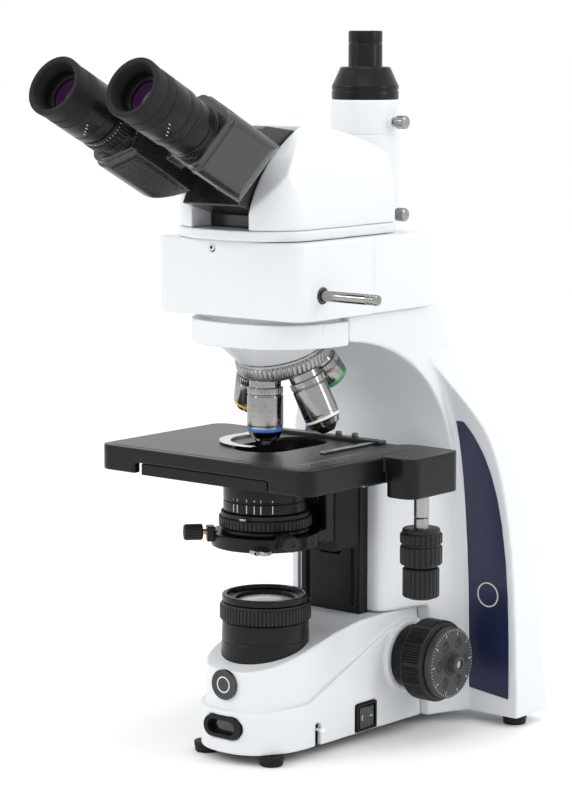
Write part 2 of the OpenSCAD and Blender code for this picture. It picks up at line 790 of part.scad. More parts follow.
module eye_lens() {
    translate([0, 0, 113.01]) cylinder(r = 12.7, h = 5);
    translate([0, 0, 118.02]) intersection() {
        cylinder(r = 12.7, h = 4);
        translate([0, 0, -30]) sphere(r = 32.5);
    }
}

module eyepiece_left() color("black") on_slope() translate([-tube_x, -tube_drop, 0]) {
    eyepiece(87.2);
    eye_lens();
}

module eyepiece_right() color("black") on_slope() translate([tube_x, -tube_drop, 0]) {
    eyepiece(74.3);
    eye_lens();
}

module photo_tube() color("aliceblue") translate([0, photo_y, 0]) difference() {
    union() {
        translate([0, 0, head_deck + 6]) cylinder(r = 23.5, h = 432.8 - head_deck - 6);
        translate([0, 0, head_deck]) cylinder(r = 20, h = 20);
    }
    translate([0, 0, head_z]) cylinder(r = 17, h = 100);
    translate([0, 0, 410]) cylinder(r = 19 + fit, h = 30);
    translate([0, 0, upper_screw_z]) rod_x(1.6 + fit, 10, 30);
    translate([0, 0, lower_screw_z]) rod_x(1.6 + fit, 10, 30);
}

module camera_adapter() color("black") translate([0, photo_y, 0]) difference() {
    union() {
        translate([0, 0, 412]) cylinder(r = 19, h = 22);
        translate([0, 0, 432.9]) cylinder(r = 22.8, h = 9.6);
        translate([0, 0, 442.5]) cylinder(r1 = 22.8, r2 = 16.5, h = 12.2);
        translate([0, 0, 454.7]) cylinder(r = port_r, h = 24.3);
    }
    translate([0, 0, 400]) cylinder(r = 9.5, h = 100);
}

module thumbscrew(z) translate([0, photo_y, z]) {
    rod_x(1.6, 19.1, 29);
    translate([28, 0, 0]) rotate([90, 0, 90]) linear_extrude(8) polygon(fluted(4.6, 0.4, 20));
}

module thumbscrew_upper() color("silver") thumbscrew(upper_screw_z);
module thumbscrew_lower() color("silver") thumbscrew(lower_screw_z);

// ---- one line a node ----

on_bench() base_housing();
on_bench() arm_housing();
on_bench() bottom_plate();
on_bench() foot_pads();
on_bench() base_badge();
on_bench() front_window();
on_bench() side_panels();
on_bench() panel_rings();
on_bench() field_lens_tube();
on_bench() field_lens();
on_bench() field_iris_ring();
on_bench() lamp_module();
on_bench() collector_lens();
on_bench() beam_mirror();
on_bench() power_board();
on_bench() power_inlet();
on_bench() switch_frame();
on_bench() power_rocker();
on_bench() brightness_lever();
on_bench() focus_rail();
on_bench() coarse_shaft();
on_bench() coarse_knobs();
on_bench() fine_shaft();
on_bench() fine_knobs();
on_bench() tension_collar();
on_bench() focus_carriage();
on_bench() focus_rack();
on_bench() stage_base();
on_bench() stage_plate();
on_bench() stage_guides();
on_bench() slide_holder();
on_bench() holder_finger();
on_bench() stage_y_knob();
on_bench() stage_x_knob();
on_bench() condenser_carrier();
on_bench() condenser_body();
on_bench() condenser_lens();
on_bench() iris_ring();
on_bench() centring_screw_left();
on_bench() centring_screw_right();
on_bench() condenser_knob();
on_bench() nose_housing();
on_bench() turret_ring();
on_bench() objectives_rear();
on_bench() objective_front();
on_bench() module_box();
on_bench() filter_slide();
on_bench() pull_rod();
on_bench() head_base();
on_bench() head_housing();
on_bench() hinge_block();
on_bench() tube_housing_left();
on_bench() tube_housing_right();
on_bench() dioptre_ring();
on_bench() eyepiece_left();
on_bench() eyepiece_right();
on_bench() photo_tube();
on_bench() camera_adapter();
on_bench() thumbscrew_upper();
on_bench() thumbscrew_lower();
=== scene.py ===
import math

import bmesh
import bpy
from mathutils import Matrix, Vector


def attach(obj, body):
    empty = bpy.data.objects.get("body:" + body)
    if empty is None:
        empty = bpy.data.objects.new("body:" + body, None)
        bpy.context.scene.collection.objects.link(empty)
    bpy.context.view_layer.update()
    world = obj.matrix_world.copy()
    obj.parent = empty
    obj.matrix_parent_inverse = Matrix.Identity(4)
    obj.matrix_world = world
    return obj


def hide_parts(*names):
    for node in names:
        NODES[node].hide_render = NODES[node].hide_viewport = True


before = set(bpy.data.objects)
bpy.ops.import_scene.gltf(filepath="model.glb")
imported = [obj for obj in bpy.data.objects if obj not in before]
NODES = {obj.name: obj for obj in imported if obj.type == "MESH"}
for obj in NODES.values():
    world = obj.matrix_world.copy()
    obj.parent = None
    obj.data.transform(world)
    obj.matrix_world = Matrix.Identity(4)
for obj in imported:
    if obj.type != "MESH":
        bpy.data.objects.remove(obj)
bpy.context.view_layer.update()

# Sizes are millimetres about the optical axis, as the CAD draws them. The frames below turn them into metres.
MM = 0.001
AXIS_Y = -8                                   # the optical axis, in the CAD's own frame
SLOPE_DEG, HUB_Y, HUB_Z = 27, -38.968, 400.892  # slope and hinge of the viewing tubes
TUBE_X, TUBE_Y = 32.5, -15                    # axis of a tube, from the hinge
SWING = 24.775                                # degrees that the housings hang below level
SHAFT_Y, SHAFT_Z = 102, 52.5                  # focus drive
SHOULDER_Z, TURRET_R, TURRET_TILT = 252.4, 21.5, 20
TURRET_STEP = 72                              # degrees between objectives
STAGE_Z = 205.5                               # top of the stage plate
HOLDER_Z = STAGE_Z + 2.3                      # top of the specimen holder
CONDENSER_Z, CARRIER_Z = 141, 150             # underside of the condenser, middle of its carrier
PHOTO_Y = 106                                 # photo tube
ROD_Y, ROD_Z = -16.5, 312                     # filter slide's rod
DRIVE_X, DRIVE_Y = 93.5, 48                   # stage drive's spindle
FLOOR_HALF, FLOOR_CORNER, FLOOR_THICK = 30000, 4000, 3
CAM_AZ, CAM_EL = math.radians(39.68), math.radians(8.11)
CAM_PLACE, CAM_LENS, CAM_SENSOR, CAM_FAR = (1.13232, -1.35135, 0.48777), 120.78, 36, 60
WORLD_STRENGTH = 1.035
LAMP_AIM = (0, 0, 0.25)


def shift(x, y, z):
    return Matrix.Translation((x, y, z))


def turn(deg, axis):
    return Matrix.Rotation(math.radians(deg), 4, axis)


BENCH = Matrix.Translation((0, AXIS_Y * MM, 0)) @ Matrix.Scale(MM, 4)
SLOPE = BENCH @ shift(0, HUB_Y, HUB_Z) @ turn(90 - SLOPE_DEG, "X")
ALONG_X = turn(90, "Z") @ turn(90, "X")               # local Z runs along +X
SHAFT = BENCH @ shift(0, SHAFT_Y, SHAFT_Z)
ROD = BENCH @ shift(0, ROD_Y, ROD_Z) @ ALONG_X
TILT = math.radians(TURRET_TILT)
TURRET_CENTRE = shift(0, TURRET_R * math.cos(TILT), SHOULDER_Z + TURRET_R * math.sin(TILT))
TURRET = BENCH @ TURRET_CENTRE @ turn(TURRET_TILT, "X")


# ---- materials ----

def new_material(name):
    mat = bpy.data.materials.new(name)
    mat.use_nodes = True
    tree = mat.node_tree
    shader = tree.nodes["Principled BSDF"]
    coord = tree.nodes.new("ShaderNodeTexCoord")
    return mat, tree, shader, coord


def noise(tree, coord, scale, detail):
    node = tree.nodes.new("ShaderNodeTexNoise")
    node.inputs["Scale"].default_value = scale
    node.inputs["Detail"].default_value = detail
    tree.links.new(coord.outputs["Object"], node.inputs["Vector"])
    return node.outputs["Fac"]


def spread(tree, factor, low, high, to_socket):
    node = tree.nodes.new("ShaderNodeMapRange")
    node.inputs["From Min"].default_value = 0.3
    node.inputs["From Max"].default_value = 0.7
    node.inputs["To Min"].default_value = low
    node.inputs["To Max"].default_value = high
    tree.links.new(factor, node.inputs["Value"])
    tree.links.new(node.outputs["Result"], to_socket)


def finish(name, color, rough, metal=0.0, vary=0.06, mottle=90.0, grain=900.0, bump=0.15, depth=0.00004,
           coat=0.0, rough_vary=0.06, worn=None, specular=0.5):
    """A surface with mottled colour, uneven gloss, a fine grain, and optionally edges worn to another colour."""
    mat, tree, shader, coord = new_material(name)
    broad = noise(tree, coord, mottle, 4.0)
    ramp = tree.nodes.new("ShaderNodeMix")
    ramp.data_type = "RGBA"
    ramp.inputs["A"].default_value = (*[c * (1 - vary) for c in color], 1)
    ramp.inputs["B"].default_value = (*[min(1, c * (1 + vary)) for c in color], 1)
    tree.links.new(broad, ramp.inputs["Factor"])
    out = ramp.outputs["Result"]
    if worn:
        geometry = tree.nodes.new("ShaderNodeNewGeometry")
        edge = tree.nodes.new("ShaderNodeMapRange")
        edge.inputs["From Min"].default_value = 0.53
        edge.inputs["From Max"].default_value = 0.62
        tree.links.new(geometry.outputs["Pointiness"], edge.inputs["Value"])
        wear = tree.nodes.new("ShaderNodeMix")
        wear.data_type = "RGBA"
        wear.inputs["B"].default_value = (*worn, 1)
        tree.links.new(edge.outputs["Result"], wear.inputs["Factor"])
        tree.links.new(out, wear.inputs["A"])
        out = wear.outputs["Result"]
    tree.links.new(out, shader.inputs["Base Color"])
    fine = noise(tree, coord, grain, 2.0)
    spread(tree, fine, max(0.02, rough - rough_vary), min(1, rough + rough_vary), shader.inputs["Roughness"])
    relief = tree.nodes.new("ShaderNodeBump")
    relief.inputs["Strength"].default_value = bump
    relief.inputs["Distance"].default_value = depth
    tree.links.new(fine, relief.inputs["Height"])
    tree.links.new(relief.outputs["Normal"], shader.inputs["Normal"])
    shader.inputs["Metallic"].default_value = metal
    shader.inputs["Coat Weight"].default_value = coat
    shader.inputs["Coat Roughness"].default_value = 0.12
    shader.inputs["Specular IOR Level"].default_value = specular
    return mat


def glass(name, color, film=0.0, painted_shade=False):
    mat, tree, shader, coord = new_material(name)
    smear = noise(tree, coord, 160.0, 3.0)
    spread(tree, smear, 0.02, 0.07, shader.inputs["Roughness"])
    tone = tree.nodes.new("ShaderNodeMix")
    tone.data_type = "RGBA"
    tone.inputs["A"].default_value = (*color, 1)
    tone.inputs["B"].default_value = (*[c * 0.8 for c in color], 1)
    tree.links.new(smear, tone.inputs["Factor"])
    tree.links.new(tone.outputs["Result"], shader.inputs["Base Color"])
    # For a lens that passes no light, the near-black purple-tinted base colour is painted shade standing in for
    # the unlit optics behind the glass; the thin film and the coat give the coating's real reflections.
    shader.inputs["Transmission Weight"].default_value = 0.0 if painted_shade else 0.85
    shader.inputs["IOR"].default_value = 1.5
    shader.inputs["Coat Weight"].default_value = 1.0
    shader.inputs["Coat Roughness"].default_value = 0.02
    shader.inputs["Thin Film Thickness"].default_value = film
    shader.inputs["Thin Film IOR"].default_value = 1.38
    return mat


WHITE = finish("white_enamel", (0.70, 0.728, 0.75), 0.36, vary=0.012, mottle=30, grain=1500, bump=0.08,
               depth=0.00003, coat=0.12, rough_vary=0.05, specular=0.35)
NAVY = finish("navy_panel", (0.012, 0.016, 0.055), 0.33, vary=0.12, mottle=60, grain=1800, bump=0.06, coat=0.2)
BLACK = finish("black_satin", (0.005, 0.005, 0.0055), 0.30, vary=0.25, mottle=120, grain=1700, bump=0.10,
               depth=0.00003, rough_vary=0.06, worn=(0.014, 0.014, 0.015), specular=0.22)
ENAMEL = finish("black_enamel", (0.010, 0.010, 0.0105), 0.27, vary=0.2, mottle=60, grain=1700, bump=0.08,
                depth=0.00003, rough_vary=0.05, worn=(0.02, 0.02, 0.021), specular=0.6, coat=0.25)
BLACK_CAST = finish("black_wrinkle", (0.005, 0.005, 0.0055), 0.45, vary=0.3, mottle=200, grain=700, bump=0.5,
                    depth=0.00018, rough_vary=0.1, worn=(0.014, 0.014, 0.015), specular=0.22)
RUBBER = finish("black_rubber", (0.007, 0.007, 0.0075), 0.58, vary=0.3, mottle=150, grain=1100, bump=0.3,
                depth=0.00006, specular=0.22, worn=(0.016, 0.016, 0.016))
KNOB = finish("knob_plastic", (0.014, 0.014, 0.0145), 0.42, vary=0.2, mottle=130, grain=1200, bump=0.3,
              depth=0.00005, worn=(0.028, 0.028, 0.028), specular=0.26)
DIAL = finish("dial_grey", (0.030, 0.031, 0.033), 0.55, vary=0.12, mottle=180, grain=1600, bump=0.35,
              depth=0.00005)
GLOSS_BLACK = finish("gloss_black", (0.004, 0.004, 0.005), 0.12, vary=0.3, mottle=120, grain=500, bump=0.03,
                     coat=0.6, rough_vary=0.03)
STEEL = finish("turned_steel", (0.34, 0.34, 0.335), 0.28, metal=1.0, vary=0.05, mottle=150, grain=1800, bump=0.12,
               depth=0.00002, rough_vary=0.08)
CHROME = finish("satin_chrome", (0.31, 0.31, 0.30), 0.15, metal=1.0, vary=0.10, mottle=140, grain=2200, bump=0.05,
                depth=0.00001, rough_vary=0.05)
DARK_METAL = finish("blued_steel", (0.07, 0.072, 0.078), 0.34, metal=0.8, vary=0.2, mottle=160, grain=1700,
                    bump=0.15, worn=(0.3, 0.3, 0.3))
BRIGHT = finish("bright_steel", (0.66, 0.66, 0.64), 0.24, metal=1.0, vary=0.06, mottle=150, grain=1800, bump=0.08,
                depth=0.00002, rough_vary=0.05)
BRASS = finish("brass", (0.72, 0.48, 0.18), 0.28, metal=1.0, vary=0.1, mottle=170, grain=1800, bump=0.12)
MARK = finish("white_marking", (0.66, 0.66, 0.64), 0.6, vary=0.05, mottle=300, grain=2500, bump=0.1)
BLUE = finish("blue_band", (0.015, 0.19, 0.72), 0.35, vary=0.06, mottle=200, grain=2200, bump=0.05)
YELLOW = finish("yellow_band", (0.85, 0.55, 0.02), 0.35, vary=0.06, mottle=200, grain=2200, bump=0.05)
GREEN = finish("green_band", (0.03, 0.38, 0.10), 0.35, vary=0.06, mottle=200, grain=2200, bump=0.05)
CREAM = finish("white_band", (0.85, 0.85, 0.82), 0.35, vary=0.04, mottle=200, grain=2200, bump=0.05)
BOARD = finish("circuit_board", (0.02, 0.10, 0.04), 0.45, vary=0.3, mottle=400, grain=1500, bump=0.2)
LENS = glass("clear_lens", (0.92, 0.95, 0.98))
# Coated lenses: the thin film gives the coating's real reflections, while the opaque near-black purple base colour
# is painted shade for the unlit optics behind the glass.
COATED_PAINTED_SHADE = glass("coated_lens_painted_shade", (0.035, 0.010, 0.045), film=330.0, painted_shade=True)
DIFFUSER = finish("frosted_glass", (0.62, 0.64, 0.60), 0.42, vary=0.05, mottle=60, grain=1500, bump=0.25,
                  coat=0.7)
MIRROR = finish("mirror_face", (0.86, 0.87, 0.88), 0.06, metal=1.0, vary=0.02, mottle=100, grain=900, bump=0.02,
                rough_vary=0.02)


# ---- mesh helpers ----

def link(name, mesh):
    obj = bpy.data.objects.new(name, mesh)
    bpy.context.scene.collection.objects.link(obj)
    return obj


def settle(obj):
    """Applies an object's modifiers to its mesh."""
    graph = bpy.context.evaluated_depsgraph_get()
    mesh = bpy.data.meshes.new_from_object(obj.evaluated_get(graph))
    obj.modifiers.clear()
    old = obj.data
    obj.data = mesh
    bpy.data.meshes.remove(old)


def smooth(mesh, degrees=32):
    """Smooth shading, with edges sharper than this left crisp."""
    bm = bmesh.new()
    bm.from_mesh(mesh)
    limit = math.radians(degrees)
    for face in bm.faces:
        face.smooth = True
    for edge in bm.edges:
        edge.smooth = len(edge.link_faces) == 2 and edge.calc_face_angle(0) < limit
    bm.to_mesh(mesh)
    bm.free()


def hand_over(obj, name, body, nodes=()):
    obj.name = name
    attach(obj, body)
    if nodes:
        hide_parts(*nodes)
    return obj


def make(name, bm, mats, matrix, body, nodes=(), bevel=0.0, segments=2, sharp=32):
    mesh = bpy.data.meshes.new(name)
    bm.normal_update()
    bm.to_mesh(mesh)
    bm.free()
    for mat in mats:
        mesh.materials.append(mat)
    obj = link(name, mesh)
    if bevel:
        mod = obj.modifiers.new("bevel", "BEVEL")
        mod.width = bevel
        mod.segments = segments
        mod.limit_method = "ANGLE"
        mod.angle_limit = math.radians(35)
        settle(obj)
    obj.data.transform(matrix)
    smooth(obj.data, sharp)
    return hand_over(obj, name, body, nodes)


def soft(profile, radius):
    """Rounds the corners of a profile of (r, z, material, fluted) points."""
    out = []
    count = len(profile)
    for i, point in enumerate(profile):
        before, here, after = (Vector(profile[(i + k) % count][:2]) for k in (-1, 0, 1))
        a, b = before - here, after - here
        reach = min(radius, a.length * 0.45, b.length * 0.45)
        bend = abs(math.pi - a.angle(b, math.pi))
        if bend < 0.2 or reach < 0.02 or here.x < 0.01:
            out.append(point)
            continue
        start, end = here + a.normalized() * reach, here + b.normalized() * reach
        before_mat = profile[i - 1][2:]
        for k in range(4):
            t = k / 3
            p = start * (1 - t) ** 2 + here * 2 * t * (1 - t) + end * t * t
            out.append((p.x, p.y, *(before_mat if k < 2 else point[2:])))
    return out


def lathe(profile, seg=96, radius=0.4, flutes=0, depth=0.6, closed=True, wave=None):
    """Turns a profile about Z. A point is (r, z), (r, z, material) or (r, z, material, 1) where it's fluted."""
    points = [(*p, 0, 0)[:4] for p in profile]
    if radius:
        points = soft(points, radius)
    if flutes:
        seg = flutes * 8
    bm = bmesh.new()
    rings = []
    for r, z, _, fluted in points:
        if r < 0.01:
            rings.append([bm.verts.new((0, 0, z))] * seg)
            continue
        row = []
        for i in range(seg):
            angle = 2 * math.pi * i / seg
            cut = 0.0
            if fluted:
                cut = depth * (wave(angle) if wave else max(0.0, math.sin(angle * flutes)) ** 0.6)
            row.append(bm.verts.new(((r - cut) * math.cos(angle), (r - cut) * math.sin(angle), z)))
        rings.append(row)
    spans = len(points) if closed else len(points) - 1
    for k in range(spans):
        low, high = rings[k], rings[(k + 1) % len(points)]
        if low[0] is low[1 % seg] and high[0] is high[1 % seg]:
            continue
        for i in range(seg):
            j = (i + 1) % seg
            corners = []
            for v in (low[i], low[j], high[j], high[i]):
                if v not in corners:
                    corners.append(v)
            if len(corners) > 2:
                face = bm.faces.new(corners)
                face.material_index = int(points[k][2])
    bmesh.ops.recalc_face_normals(bm, faces=bm.faces)
    return bm


def slab(bm, outline, z0, z1):
    """A prism on an outline of (x, y) points."""
    low = [bm.verts.new((x, y, z0)) for x, y in outline]
    high = [bm.verts.new((x, y, z1)) for x, y in outline]
    faces = [bm.faces.new(list(reversed(low))), bm.faces.new(high)]
    count = len(outline)
    for i in range(count):
        faces.append(bm.faces.new((low[i], low[(i + 1) % count], high[(i + 1) % count], high[i])))
    return faces


def rounded(x0, y0, x1, y1, r, steps=8):
    points = []
    for cx, cy, a0 in ((x1 - r, y0 + r, -90), (x1 - r, y1 - r, 0), (x0 + r, y1 - r, 90), (x0 + r, y0 + r, 180)):
        for k in range(steps + 1):
            a = math.radians(a0 + 90 * k / steps)
            points.append((cx + r * math.cos(a), cy + r * math.sin(a)))
    return points


def brick(bm, low, high, matrix=None):
    outline = [(low[0], low[1]), (high[0], low[1]), (high[0], high[1]), (low[0], high[1])]
    faces = slab(bm, outline, low[2], high[2])
    if matrix:
        verts = list({v for f in faces for v in f.verts})
        bmesh.ops.transform(bm, matrix=matrix, verts=verts)


def cut(obj, bm, matrix):
    """Takes a shape away from an object."""
    mesh = bpy.data.meshes.new("cutter")
    bmesh.ops.recalc_face_normals(bm, faces=bm.faces)
    bm.to_mesh(mesh)
    bm.free()
    mesh.transform(matrix)
    tool = link("cutter", mesh)
    mod = obj.modifiers.new("cut", "BOOLEAN")
    mod.operation = "DIFFERENCE"
    mod.object = tool
    mod.solver = "EXACT"
    settle(obj)
    bpy.data.objects.remove(tool)


def cast(node, body, mat, voxel, rounds):
    """A rounded copy of a CAD node: its corners take the soft radius that the real moulding or casting has."""
    obj = link("cast", NODES[node].data.copy())
    obj.matrix_world = NODES[node].matrix_world.copy()
    bm = bmesh.new()
    bm.from_mesh(obj.data)
    bmesh.ops.remove_doubles(bm, verts=bm.verts, dist=0.000002)
    bm.to_mesh(obj.data)
    bm.free()
    remesh = obj.modifiers.new("remesh", "REMESH")
    remesh.mode = "VOXEL"
    remesh.voxel_size = voxel * MM
    remesh.use_smooth_shade = True
    relax = obj.modifiers.new("relax", "SMOOTH")
    relax.factor = 0.5
    relax.iterations = rounds
    settle(obj)
    obj.data.materials.clear()
    obj.data.materials.append(mat)
    for face in obj.data.polygons:
        face.use_smooth = True
        face.material_index = 0
    return hand_over(obj, node + "_cast", body, (node,))


def add(bm, part, matrix):
    """Joins one mesh in the making to another."""
    mesh = bpy.data.meshes.new("part")
    part.to_mesh(mesh)
    part.free()
    mesh.transform(matrix)
    bm.from_mesh(mesh)
    bpy.data.meshes.remove(mesh)


def screw_head(bm, r, h, matrix):
    """A domed socket head, with its well in the second material."""
    add(bm, lathe([(0, 0), (r, 0), (r, h * 0.7), (r * 0.8, h), (r * 0.55, h, 1),
                   (r * 0.5, h * 0.35, 1), (0, h * 0.35, 1)], 24, 0.1), matrix)


def digits(bm, text, height, matrix):
    """A number as a thin raised mesh."""
    curve = bpy.data.curves.new("digits", "FONT")
    curve.body = text
    curve.size = height
    curve.align_x = "CENTER"
    curve.align_y = "CENTER"
    curve.extrude = 0.03
    curve.resolution_u = 3
    obj = link("digits", curve)
    graph = bpy.context.evaluated_depsgraph_get()
    mesh = bpy.data.meshes.new_from_object(obj.evaluated_get(graph))
    mesh.transform(matrix)
    bm.from_mesh(mesh)
    bpy.data.objects.remove(obj)
    bpy.data.curves.remove(curve)
    bpy.data.meshes.remove(mesh)


# ---- white castings ----

cast("base_housing", "stand", WHITE, 0.85, 7)
cast("arm_housing", "stand", WHITE, 1.25, 8)
cast("nose_housing", "stand", WHITE, 0.8, 6)
cast("module_box", "stand", WHITE, 1.0, 3)
cast("head_base", "stand", WHITE, 0.9, 3)
cast("head_housing", "stand", WHITE, 0.9, 8)

# ---- black castings and moulded parts ----

for node, body, mat, voxel, rounds in (
        ("hinge_block", "stand", ENAMEL, 0.6, 5),
        ("tube_housing_left", "tube_left", ENAMEL, 0.55, 5),
        ("tube_housing_right", "tube_right", ENAMEL, 0.55, 5),
        ("stage_plate", "stage_y", BLACK, 0.75, 4),
        ("stage_base", "carriage", BLACK_CAST, 0.8, 2),
        ("focus_carriage", "carriage", BLACK_CAST, 0.7, 3),
        ("focus_rail", "stand", BLACK_CAST, 0.7, 2),
        ("condenser_carrier", "condenser", BLACK, 0.6, 3),
        ("slide_holder", "specimen_x", DARK_METAL, 0.35, 2),
        ("holder_finger", "finger", BRIGHT, 0.22, 1),
        ("switch_frame", "stand", BLACK, 0.3, 2),
        ("power_rocker", "power_switch", GLOSS_BLACK, 0.3, 4),
        ("front_window", "stand", BLACK, 0.35, 3),
        ("power_inlet", "stand", BLACK, 0.4, 2),
        ("bottom_plate", "stand", BLACK_CAST, 0.9, 1),
        ("tension_collar", "tension", BLACK, 0.45, 3)):
    cast(node, body, mat, voxel, rounds)

# ---- eyepieces and viewing tubes ----


def eyepiece(side, name, node, body, skirt):
    """The barrel is in SLOPE's frame. Only a skirt long enough has the groove at 85 mm."""
    at = SLOPE @ shift(side * TUBE_X, TUBE_Y, 0)
    neck = [(18.3, skirt)]
    if skirt < 84:
        neck += [(18.3, 84.6), (18.0, 85), (18.0, 85.6), (18.3, 86)]
    tube = lathe([(12.6, 40), (14.9, 40), (14.9, skirt)] + neck + [
        (18.3, 87.8), (17.7, 88), (17.7, 88.7), (19.3, 89), (19.3, 95.4), (18.95, 95.6), (18.95, 96.2),
        (19.3, 96.4), (19.3, 110.6), (18.8, 110.9), (18.8, 111.7), (19.3, 112, 1), (19.3, 118.4, 1),
        (18.9, 118.8, 1), (19.05, 119.6, 1), (19.85, 129.2, 1), (19.6, 130.6, 1), (18.9, 131, 1), (17.7, 131, 1),
        (16.2, 130.2, 1), (14.3, 126.2, 1), (13.4, 123.4), (13.2, 120.6), (12.9, 119.2), (12.9, 118.6),
        (12.6, 118.6)], 128, 0.35)
    make(name, tube, [BLACK, RUBBER], at, body, (node,))
    lens = lathe([(0, 116.6), (4, 116.5), (8, 116.1), (12.5, 115.2), (12.5, 113.4), (0, 113.4)],
                 96, 0, closed=False)
    make(name + "_lens", lens, [COATED_PAINTED_SHADE], at, body, sharp=60)
    rim = lathe([(12.5, 116.0), (12.8, 117.6), (11.6, 117.9), (11.3, 116.3)], 96, 0.15)
    make(name + "_lens_rim", rim, [DARK_METAL], at, body)
    marks = bmesh.new()
    for k in range(4):
        angle = math.radians((-60 if side > 0 else -70) + 7 * k)
        spot = shift(19.3 * math.cos(angle), 19.3 * math.sin(angle), 99 + 2 * k)
        brick(marks, (-0.05, -0.22, -0.8), (0.05, 0.22, 0.8), spot @ turn(math.degrees(angle), "Z"))
    make(name + "_index_marks", marks, [MARK], at, body)


eyepiece(-1, "eyepiece_left_barrel", "eyepiece_left", "tube_left", 87.1)
eyepiece(1, "eyepiece_right_barrel", "eyepiece_right", "tube_right", 74.6)

ring = lathe([(15.1, 74.4), (18.6, 74.4), (19.4, 75, 0, 1), (19.4, 81.2, 0, 1), (18.6, 81.8), (18.5, 82.2),
              (18.9, 82.6), (18.9, 86.2), (18.3, 86.6), (15.1, 86.6)], radius=0.3, flutes=44, depth=0.55)
ring_at = SLOPE @ shift(-TUBE_X, TUBE_Y, 0)
make("dioptre_grip", ring, [BLACK], ring_at, "dioptre", ("dioptre_ring",))
scale = bmesh.new()
for k in range(21):
    angle = math.radians(-150 + 7 * k)
    tall = 1.5 if k % 5 == 0 else 0.9
    brick(scale, (-0.05, -0.12, 83.2), (0.07, 0.12, 83.2 + tall),
          turn(math.degrees(angle), "Z") @ shift(18.9, 0, 0))
make("dioptre_scale", scale, [MARK], ring_at, "dioptre")

for side, body, slot in ((-1, "tube_left", "tube_housing_left"), (1, "tube_right", "tube_housing_right")):
    at = SLOPE @ shift(side * TUBE_X, TUBE_Y, 0)
    collar = lathe([(15.2, 67), (18.1, 67), (18.1, 69.6), (17.75, 69.9), (17.75, 70.5), (18.1, 70.8), (18.1, 73.8),
                    (15.2, 73.8)], 96, 0.25)
    make(slot + "_collar", collar, [BLACK], at, body)
    # the housing's own frame: X runs from the hinge out through the tube
    arm = SLOPE @ turn(-side * SWING, "Z")
    cover = bmesh.new()
    edge = [(28, 9), (40, 14.5), (46.5, 24), (47, 34), (47, 59), (28, 59)]
    slab(cover, [(side * x, z) for x, z in edge], 0, 0.5)
    bmesh.ops.recalc_face_normals(cover, faces=cover.faces[:])
    for x, z in ((31, 13.5), (43.5, 30), (31, 55), (43.5, 55)):
        screw_head(cover, 1.3, 0.5, shift(side * x, z, 0.45))
    make(slot + "_cover", cover, [ENAMEL, DARK_METAL], arm @ shift(0, -19.95, 0) @ turn(90, "X"), body)
    front = bmesh.new()
    for x, y in ((24, -12.5), (24, 16.5), (50, 17), (50, -12)):
        screw_head(front, 1.4, 0.5, shift(side * x, y, 67.9))
    make(slot + "_screws", front, [DARK_METAL, BLACK], arm, body)

# ---- photo tube ----

at = BENCH @ shift(0, PHOTO_Y, 0)
tube = lathe([
    (19.2, 353.1), (19.9, 353.1), (19.9, 359.6), (22.6, 359.6), (23.5, 360.4), (23.5, 362.2), (22.9, 362.6),
    (22.9, 363.4), (23.5, 363.8), (23.5, 408.6), (23.2, 409), (23.2, 409.8), (23.5, 410.2), (23.5, 431.6),
    (22.9, 432.8), (19.2, 432.8)], 144, 0.4)
make("photo_tube_barrel", tube, [WHITE], at, "stand", ("photo_tube",))
port = lathe([
    (9.6, 412), (19, 412), (19, 432.9), (22.5, 432.9), (22.8, 433.4), (22.8, 438.2), (22.4, 438.5), (22.4, 439.3),
    (22.8, 439.6), (22.8, 442), (22.3, 442.7), (17.2, 454), (16.4, 454.7), (12.2, 454.7), (11.6, 455.4),
    (11.6, 469.8), (11.3, 470.1), (11.3, 470.9), (11.6, 471.2), (11.6, 478.3), (11, 479), (10.2, 479),
    (9.6, 478.2)], 128, 0.4)
make("camera_port", port, [BLACK], at, "stand", ("camera_adapter",))
inside = lathe([(0, 430), (9.5, 430), (9.5, 431), (0, 431)], 48, 0)
make("camera_port_lens", inside, [COATED_PAINTED_SHADE], at, "stand")

for name, z in (("upper", 417.9), ("lower", 355.6)):
    body, slot = "screw_" + name, "thumbscrew_" + name
    screw = lathe([(0, 19.2), (1.6, 19.2), (1.6, 25.4), (2.6, 25.6), (2.6, 27.9), (4.0, 28.1), (4.6, 28.7, 0, 1),
                   (4.6, 34.4, 0, 1), (4.0, 35.2), (3.2, 35.6), (3.0, 35.9), (0, 35.9)],
                  radius=0.2, flutes=26, depth=0.35)
    make("lock_screw_" + name, screw, [STEEL], at @ shift(0, 0, z) @ ALONG_X, body, (slot,))
    boss = lathe([(2.2, 22.2), (5.2, 22.2), (4.6, 24.4), (4.1, 24.9), (2.2, 24.9)], 48, 0.3)
    make("lock_screw_boss_" + name, boss, [WHITE], at @ shift(0, 0, z) @ ALONG_X, "stand")

# ---- filter slide and its rod ----

rod = lathe([(0, 26), (3.5, 26), (3.5, 98.4), (2.9, 98.8), (2.9, 100), (3.5, 100.4), (3.5, 101.6), (2.9, 102),
             (2.9, 103), (3.5, 103.4), (3.5, 104.4), (2.9, 104.8), (2.9, 105.2), (3.5, 105.6), (3.2, 106.9),
             (0, 107)], 96, 0.2)
make("filter_rod", rod, [CHROME], ROD, "filter", ("pull_rod",))
bush = lathe([(3.6, 61.6), (5.6, 61.6), (5.6, 62.3), (5.2, 62.7), (3.6, 62.7)], 64, 0.15)
make("filter_rod_bush", bush, [DARK_METAL], ROD, "stand")
cast("filter_slide", "filter", DARK_METAL, 0.7, 2)
screws = bmesh.new()
screw_head(screws, 2.2, 1.2, shift(-12, -38.6, 340.6) @ turn(90, "X"))
make("box_set_screw", screws, [WHITE, DARK_METAL], BENCH, "stand")

# ---- nosepiece and objectives ----

